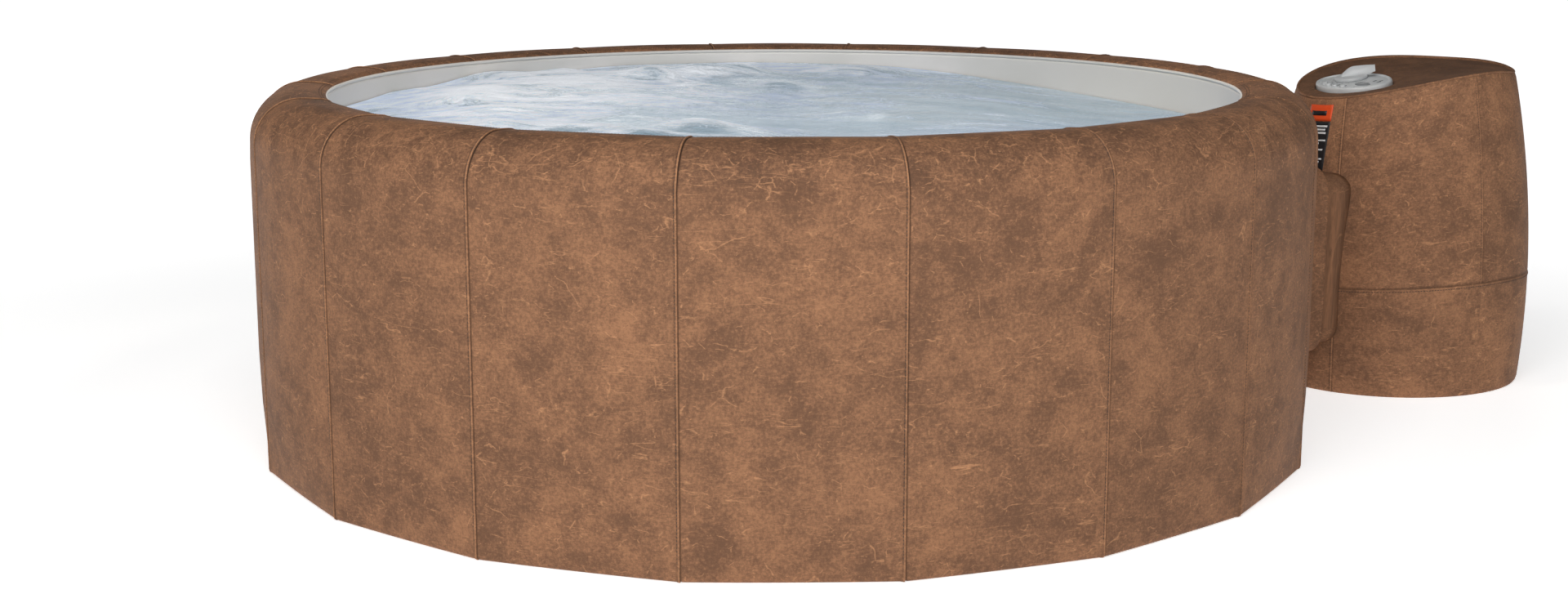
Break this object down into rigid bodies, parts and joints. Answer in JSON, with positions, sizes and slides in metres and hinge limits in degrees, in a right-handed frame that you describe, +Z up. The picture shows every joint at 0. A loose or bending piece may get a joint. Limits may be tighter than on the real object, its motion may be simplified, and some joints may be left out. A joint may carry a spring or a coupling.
{
  "type": "portable soft-sided hot tub",
  "caption": "Round foam-walled portable hot tub in a sewn vinyl jacket, with a cream liner, swivelling wall jets, and a separate pump and heater pack joined by a padded hose sleeve.",
  "frame": {"origin": "middle of the tub on the floor it stands on", "axes": "+Z up; +X towards the side where the equipment pack stands; +Y completes a right-handed frame"},
  "size_m": [2.3499, 1.7998, 0.61],
  "materials": {
    "brown_vinyl": "distressed leather-look vinyl, mottled tan on brown, low sheen",
    "cream_vinyl": "smooth satin vinyl",
    "foam": "closed-cell foam, matte",
    "grey_plastic": "satin moulded",
    "white_plastic": "smooth moulded",
    "black_plastic": "fine moulded texture",
    "hose_rubber": "matte",
    "steel": "brushed",
    "motor_paint": "semi-gloss enamel",
    "filter_paper": "pleated non-woven",
    "window_plastic": "glossy dark window",
    "board": "solder-mask green"
  },
  "bodies": {
    "tub": {"ground_sheet": "brown_vinyl", "floor_foam": "foam", "wall_foam": "foam", "liner": "cream_vinyl", "tub_jacket": "brown_vinyl", "rim_bead": "cream_vinyl", "jet_manifold": "white_plastic", "jet_body_1": "white_plastic", "jet_body_2": "white_plastic", "jet_body_3": "white_plastic", "jet_body_4": "white_plastic", "suction_fitting": "white_plastic", "return_fitting": "white_plastic", "filter_cartridge": "filter_paper", "drain_fitting": "white_plastic", "hose_sleeve": "brown_vinyl", "suction_hose": "hose_rubber", "return_hose": "hose_rubber", "hose_clamp_1": "steel", "hose_clamp_2": "steel", "hose_clamp_3": "steel", "hose_clamp_4": "steel", "pack_jacket": "brown_vinyl", "pack_top": "brown_vinyl", "pack_piping": "brown_vinyl", "pack_shell": "grey_plastic", "pack_base": "black_plastic", "pack_foot_1": "hose_rubber", "pack_foot_2": "hose_rubber", "pack_foot_3": "hose_rubber", "pack_foot_4": "hose_rubber", "pump_housing": "black_plastic", "pump_backplate": "black_plastic", "motor_body": "motor_paint", "bearing_front": "steel", "bearing_rear": "steel", "heat_jacket": "steel", "motor_cradle": "black_plastic", "control_box": "grey_plastic", "control_box_lid": "grey_plastic", "cable_gland": "black_plastic", "control_bezel": "grey_plastic", "display_lens": "window_plastic", "air_valve": "black_plastic", "air_tube": "hose_rubber", "circuit_board": "board"},
    "jet_1": {"jet_nozzle_1": "grey_plastic"},
    "jet_2": {"jet_nozzle_2": "grey_plastic"},
    "jet_3": {"jet_nozzle_3": "grey_plastic"},
    "jet_4": {"jet_nozzle_4": "grey_plastic"},
    "filter": {"filter_cage": "white_plastic"},
    "drain": {"drain_cap": "black_plastic"},
    "rotor": {"pump_shaft": "steel", "pump_impeller": "white_plastic", "motor_rotor": "steel"},
    "dial": {"air_dial": "grey_plastic"},
    "key_1": {"button_1": "grey_plastic"},
    "key_2": {"button_2": "grey_plastic"},
    "key_3": {"button_3": "grey_plastic"},
    "key_4": {"button_4": "grey_plastic"}
  },
  "joints": [
    {"name": "jet_1_swivel", "type": "hinge", "parent": "tub", "child": "jet_1", "pos_m": [0.76997, -0.12471, 0.34], "axis": [0, 0, 1], "range_deg": [-15, 15]},
    {"name": "jet_2_swivel", "type": "hinge", "parent": "tub", "child": "jet_2", "pos_m": [0.77601, 0.07882, 0.34], "axis": [0, 0, 1], "range_deg": [-15, 15]},
    {"name": "jet_3_swivel", "type": "hinge", "parent": "tub", "child": "jet_3", "pos_m": [0.63263, 0.45627, 0.34], "axis": [0, 0, 1], "range_deg": [-15, 15]},
    {"name": "jet_4_swivel", "type": "hinge", "parent": "tub", "child": "jet_4", "pos_m": [0.49298, 0.60446, 0.34], "axis": [0, 0, 1], "range_deg": [-15, 15]},
    {"name": "filter_twist", "type": "hinge", "parent": "tub", "child": "filter", "pos_m": [0.65438, 0.24857, 0.15], "axis": [0.9348, 0.3551, 0], "range_deg": [0, 45]},
    {"name": "drain_cap_turn", "type": "hinge", "parent": "tub", "child": "drain", "pos_m": [-0.32847, 0.86471, 0.062], "axis": [-0.3551, 0.9348, 0], "range_deg": [0, 360]},
    {"name": "pump_spin", "type": "hinge", "parent": "tub", "child": "rotor", "pos_m": [1.15988, 0.43602, 0.15], "axis": [0.9411, 0.3382, 0], "continuous": true},
    {"name": "air_dial_turn", "type": "hinge", "parent": "tub", "child": "dial", "pos_m": [1.08519, 0.4198, 0.57912], "axis": [-0.1571, -0.0564, 0.986], "range_deg": [0, 90]},
    {"name": "button_1_press", "type": "slide", "parent": "tub", "child": "key_1", "axis": [0.1571, 0.0564, -0.986], "range_m": [0, 0.0015], "stiffness_N_per_m": 900},
    {"name": "button_2_press", "type": "slide", "parent": "tub", "child": "key_2", "axis": [0.1571, 0.0564, -0.986], "range_m": [0, 0.0015], "stiffness_N_per_m": 900},
    {"name": "button_3_press", "type": "slide", "parent": "tub", "child": "key_3", "axis": [0.1571, 0.0564, -0.986], "range_m": [0, 0.0015], "stiffness_N_per_m": 900},
    {"name": "button_4_press", "type": "slide", "parent": "tub", "child": "key_4", "axis": [0.1571, 0.0564, -0.986], "range_m": [0, 0.0015], "stiffness_N_per_m": 900}
  ]
}
